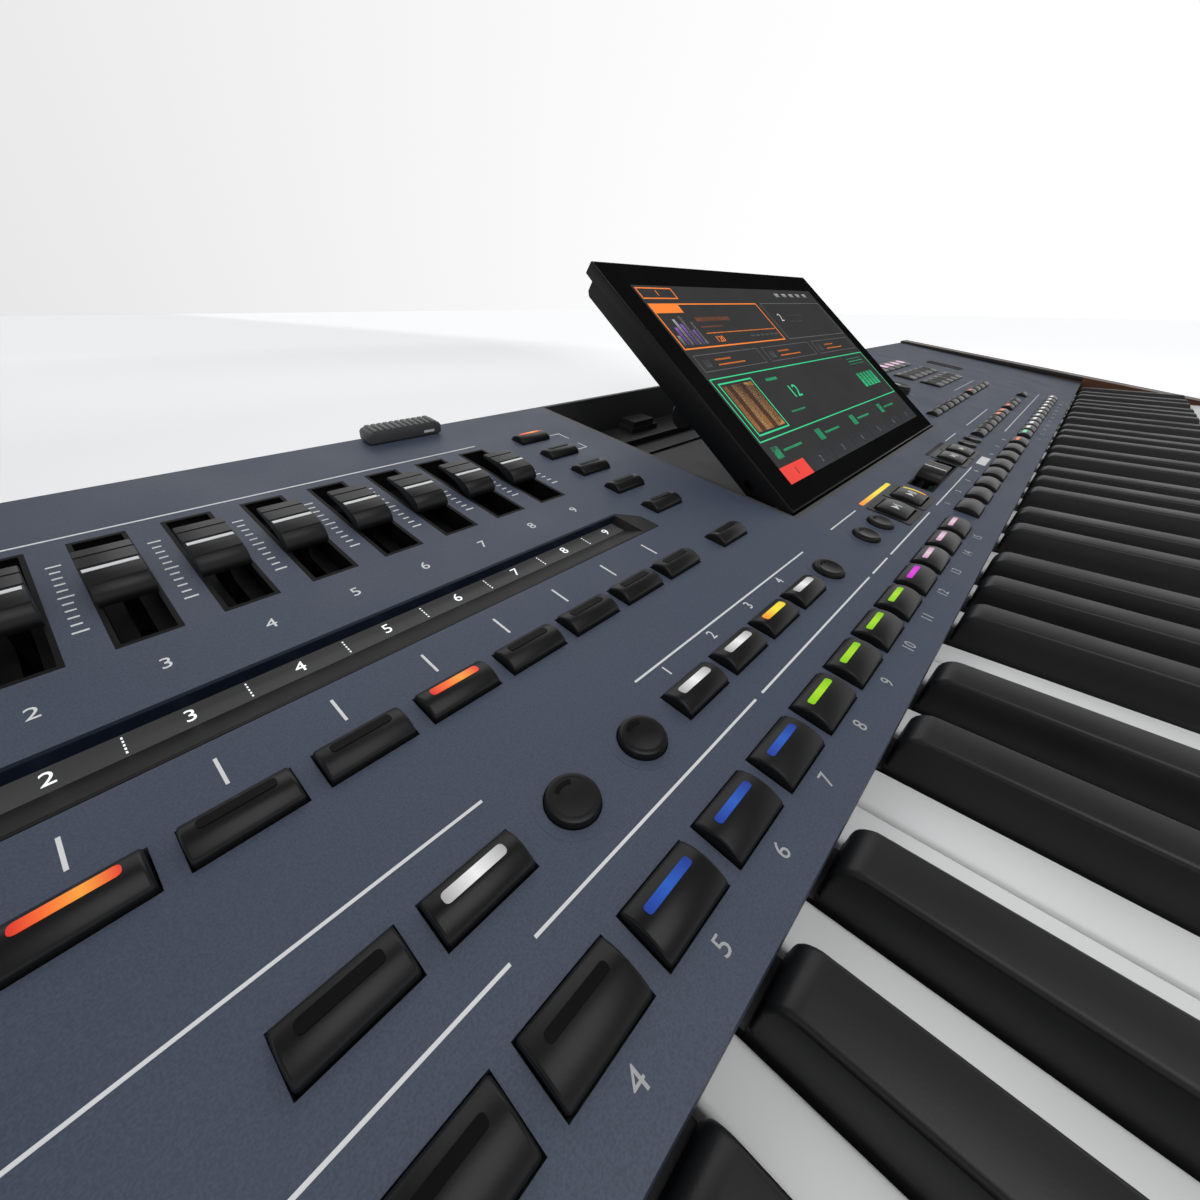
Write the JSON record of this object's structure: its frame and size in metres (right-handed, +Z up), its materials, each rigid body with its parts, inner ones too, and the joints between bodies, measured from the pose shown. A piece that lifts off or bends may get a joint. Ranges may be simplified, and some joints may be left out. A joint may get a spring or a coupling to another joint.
{
  "type": "arranger keyboard",
  "caption": "Arranger keyboard with a full set of hinged piano keys, a sloped panel of faders and push buttons, a tilting screen and wooden end cheeks.",
  "frame": {"origin": "on the table, under the middle of the case", "axes": "+X along the keys to the treble end, +Y to the back, +Z up"},
  "size_m": [1.225, 0.373, 0.1895],
  "materials": {
    "panel_paint": "fine textured satin paint",
    "cheek_wood": "dark stained satin",
    "case_metal": "black powder coat",
    "steel": "drawn",
    "circuit_board": "solder mask",
    "foot_rubber": "matte",
    "screen_glass": "gloss",
    "display_plastic": "satin moulded",
    "black_plastic": "fine moulded satin",
    "white_key": "satin gloss",
    "black_key": "matte moulded"
  },
  "bodies": {
    "case": {"floor_plate": "case_metal", "case_screws": "steel", "rubber_feet": "foot_rubber", "end_cheek_left": "cheek_wood", "end_cheek_right": "cheek_wood", "top_panel": "panel_paint", "panel_boards": "circuit_board", "left_block": "panel_paint", "key_slip": "black_plastic", "rear_panel": "case_metal", "rear_sockets": "black_plastic", "power_inlet": "black_plastic", "keybed_chassis": "case_metal", "key_pivot_rod": "steel", "key_contact_board": "circuit_board", "main_board": "circuit_board", "power_supply": "case_metal", "fader_trays": "black_plastic", "fader_bodies": "black_plastic", "strip_bezel": "display_plastic", "strip_display": "screen_glass", "display_well": "display_plastic", "display_hinge_pins": "steel"},
    "keys_c": {"keys_c": "white_key"},
    "keys_c_sharp": {"keys_c_sharp": "black_key"},
    "keys_d": {"keys_d": "white_key"},
    "keys_d_sharp": {"keys_d_sharp": "black_key"},
    "keys_e": {"keys_e": "white_key"},
    "keys_f": {"keys_f": "white_key"},
    "keys_f_sharp": {"keys_f_sharp": "black_key"},
    "keys_g": {"keys_g": "white_key"},
    "keys_g_sharp": {"keys_g_sharp": "black_key"},
    "keys_a": {"keys_a": "white_key"},
    "keys_a_sharp": {"keys_a_sharp": "black_key"},
    "keys_b": {"keys_b": "white_key"},
    "style_buttons": {"style_buttons": "black_plastic"},
    "strip_buttons": {"strip_buttons": "black_plastic"},
    "pad_buttons": {"pad_buttons": "black_plastic"},
    "mode_buttons": {"mode_buttons": "black_plastic"},
    "player_buttons": {"player_buttons": "black_plastic"},
    "row_buttons": {"row_buttons": "black_plastic"},
    "keypad_buttons": {"keypad_buttons": "black_plastic"},
    "power_button": {"power_button": "black_plastic"},
    "fader_cap_1": {"fader_cap_1": "black_plastic"},
    "fader_cap_2": {"fader_cap_2": "black_plastic"},
    "fader_cap_3": {"fader_cap_3": "black_plastic"},
    "fader_cap_4": {"fader_cap_4": "black_plastic"},
    "fader_cap_5": {"fader_cap_5": "black_plastic"},
    "fader_cap_6": {"fader_cap_6": "black_plastic"},
    "fader_cap_7": {"fader_cap_7": "black_plastic"},
    "fader_cap_8": {"fader_cap_8": "black_plastic"},
    "fader_cap_9": {"fader_cap_9": "black_plastic"},
    "balance_cap": {"balance_cap": "black_plastic"},
    "display": {"display_frame": "display_plastic", "display_glass": "screen_glass", "display_back": "display_plastic"},
    "speaker_latch": {"speaker_latch": "black_plastic"},
    "volume_knob": {"volume_knob": "black_plastic"},
    "joystick_yoke": {"joystick_yoke": "black_plastic"},
    "joystick_stick": {"joystick_stick": "black_plastic"}
  },
  "joints": [
    {"name": "press_keys_c", "type": "hinge", "parent": "case", "child": "keys_c", "pos_m": [0, 0.03546, 0.063], "axis": [1, 0, 0], "range_deg": [0, 2.6], "stiffness_Nm_per_rad": 4, "springref_deg": -17.19},
    {"name": "press_keys_c_sharp", "type": "hinge", "parent": "case", "child": "keys_c_sharp", "pos_m": [0, 0.03546, 0.063], "axis": [1, 0, 0], "range_deg": [0, 2.6], "stiffness_Nm_per_rad": 4, "springref_deg": -17.19},
    {"name": "press_keys_d", "type": "hinge", "parent": "case", "child": "keys_d", "pos_m": [0, 0.03546, 0.063], "axis": [1, 0, 0], "range_deg": [0, 2.6], "stiffness_Nm_per_rad": 4, "springref_deg": -17.19},
    {"name": "press_keys_d_sharp", "type": "hinge", "parent": "case", "child": "keys_d_sharp", "pos_m": [0, 0.03546, 0.063], "axis": [1, 0, 0], "range_deg": [0, 2.6], "stiffness_Nm_per_rad": 4, "springref_deg": -17.19},
    {"name": "press_keys_e", "type": "hinge", "parent": "case", "child": "keys_e", "pos_m": [0, 0.03546, 0.063], "axis": [1, 0, 0], "range_deg": [0, 2.6], "stiffness_Nm_per_rad": 4, "springref_deg": -17.19},
    {"name": "press_keys_f", "type": "hinge", "parent": "case", "child": "keys_f", "pos_m": [0, 0.03546, 0.063], "axis": [1, 0, 0], "range_deg": [0, 2.6], "stiffness_Nm_per_rad": 4, "springref_deg": -17.19},
    {"name": "press_keys_f_sharp", "type": "hinge", "parent": "case", "child": "keys_f_sharp", "pos_m": [0, 0.03546, 0.063], "axis": [1, 0, 0], "range_deg": [0, 2.6], "stiffness_Nm_per_rad": 4, "springref_deg": -17.19},
    {"name": "press_keys_g", "type": "hinge", "parent": "case", "child": "keys_g", "pos_m": [0, 0.03546, 0.063], "axis": [1, 0, 0], "range_deg": [0, 2.6], "stiffness_Nm_per_rad": 4, "springref_deg": -17.19},
    {"name": "press_keys_g_sharp", "type": "hinge", "parent": "case", "child": "keys_g_sharp", "pos_m": [0, 0.03546, 0.063], "axis": [1, 0, 0], "range_deg": [0, 2.6], "stiffness_Nm_per_rad": 4, "springref_deg": -17.19},
    {"name": "press_keys_a", "type": "hinge", "parent": "case", "child": "keys_a", "pos_m": [0, 0.03546, 0.063], "axis": [1, 0, 0], "range_deg": [0, 2.6], "stiffness_Nm_per_rad": 4, "springref_deg": -17.19},
    {"name": "press_keys_a_sharp", "type": "hinge", "parent": "case", "child": "keys_a_sharp", "pos_m": [0, 0.03546, 0.063], "axis": [1, 0, 0], "range_deg": [0, 2.6], "stiffness_Nm_per_rad": 4, "springref_deg": -17.19},
    {"name": "press_keys_b", "type": "hinge", "parent": "case", "child": "keys_b", "pos_m": [0, 0.03546, 0.063], "axis": [1, 0, 0], "range_deg": [0, 2.6], "stiffness_Nm_per_rad": 4, "springref_deg": -17.19},
    {"name": "press_style_buttons", "type": "slide", "parent": "case", "child": "style_buttons", "axis": [0, 0.1588, -0.9873], "range_m": [0, 0.001], "stiffness_N_per_m": 1200, "springref_m": -0.003},
    {"name": "press_strip_buttons", "type": "slide", "parent": "case", "child": "strip_buttons", "axis": [0, 0.1588, -0.9873], "range_m": [0, 0.001], "stiffness_N_per_m": 540, "springref_m": -0.003},
    {"name": "press_pad_buttons", "type": "slide", "parent": "case", "child": "pad_buttons", "axis": [0, 0.1588, -0.9873], "range_m": [0, 0.001], "stiffness_N_per_m": 540, "springref_m": -0.003},
    {"name": "press_mode_buttons", "type": "slide", "parent": "case", "child": "mode_buttons", "axis": [0, 0.1588, -0.9873], "range_m": [0, 0.001], "stiffness_N_per_m": 360, "springref_m": -0.003},
    {"name": "press_player_buttons", "type": "slide", "parent": "case", "child": "player_buttons", "axis": [0, 0.1588, -0.9873], "range_m": [0, 0.001], "stiffness_N_per_m": 480, "springref_m": -0.003},
    {"name": "press_row_buttons", "type": "slide", "parent": "case", "child": "row_buttons", "axis": [0, 0.1588, -0.9873], "range_m": [0, 0.001], "stiffness_N_per_m": 3300, "springref_m": -0.003},
    {"name": "press_keypad_buttons", "type": "slide", "parent": "case", "child": "keypad_buttons", "axis": [0, 0.1588, -0.9873], "range_m": [0, 0.001], "stiffness_N_per_m": 900, "springref_m": -0.003},
    {"name": "press_power_button", "type": "slide", "parent": "case", "child": "power_button", "axis": [0, -1, 0], "range_m": [0, 0.002], "stiffness_N_per_m": 300, "springref_m": -0.003},
    {"name": "slide_fader_1", "type": "slide", "parent": "case", "child": "fader_cap_1", "axis": [0, 0.9873, 0.1588], "range_m": [-0.015, 0.015]},
    {"name": "slide_fader_2", "type": "slide", "parent": "case", "child": "fader_cap_2", "axis": [0, 0.9873, 0.1588], "range_m": [-0.015, 0.015]},
    {"name": "slide_fader_3", "type": "slide", "parent": "case", "child": "fader_cap_3", "axis": [0, 0.9873, 0.1588], "range_m": [-0.015, 0.015]},
    {"name": "slide_fader_4", "type": "slide", "parent": "case", "child": "fader_cap_4", "axis": [0, 0.9873, 0.1588], "range_m": [-0.015, 0.015]},
    {"name": "slide_fader_5", "type": "slide", "parent": "case", "child": "fader_cap_5", "axis": [0, 0.9873, 0.1588], "range_m": [-0.015, 0.015]},
    {"name": "slide_fader_6", "type": "slide", "parent": "case", "child": "fader_cap_6", "axis": [0, 0.9873, 0.1588], "range_m": [-0.015, 0.015]},
    {"name": "slide_fader_7", "type": "slide", "parent": "case", "child": "fader_cap_7", "axis": [0, 0.9873, 0.1588], "range_m": [-0.015, 0.015]},
    {"name": "slide_fader_8", "type": "slide", "parent": "case", "child": "fader_cap_8", "axis": [0, 0.9873, 0.1588], "range_m": [-0.015, 0.015]},
    {"name": "slide_fader_9", "type": "slide", "parent": "case", "child": "fader_cap_9", "axis": [0, 0.9873, 0.1588], "range_m": [-0.015, 0.015]},
    {"name": "slide_balance", "type": "slide", "parent": "case", "child": "balance_cap", "axis": [1, 0, 0], "range_m": [-0.0085, 0.0245]},
    {"name": "tilt_display", "type": "hinge", "parent": "case", "child": "display", "pos_m": [0.01749, 0.04729, 0.10003], "axis": [1, 0, 0], "range_deg": [-29.2, 5]},
    {"name": "slide_speaker_latch", "type": "slide", "parent": "case", "child": "speaker_latch", "axis": [1, 0, 0], "range_m": [0, 0.008]},
    {"name": "turn_volume_knob", "type": "hinge", "parent": "case", "child": "volume_knob", "pos_m": [0.21549, 0.08692, 0.10873], "axis": [0, -0.1588, 0.9873], "range_deg": [-150, 150]},
    {"name": "tilt_joystick_front_back", "type": "hinge", "parent": "case", "child": "joystick_yoke", "pos_m": [-0.53251, -0.09143, 0.06586], "axis": [1, 0, 0], "range_deg": [-20, 20], "stiffness_Nm_per_rad": 0.15},
    {"name": "tilt_joystick_left_right", "type": "hinge", "parent": "joystick_yoke", "child": "joystick_stick", "pos_m": [-0.53251, -0.09143, 0.06586], "axis": [0, 0.9873, 0.1588], "range_deg": [-20, 20], "stiffness_Nm_per_rad": 0.15}
  ]
}
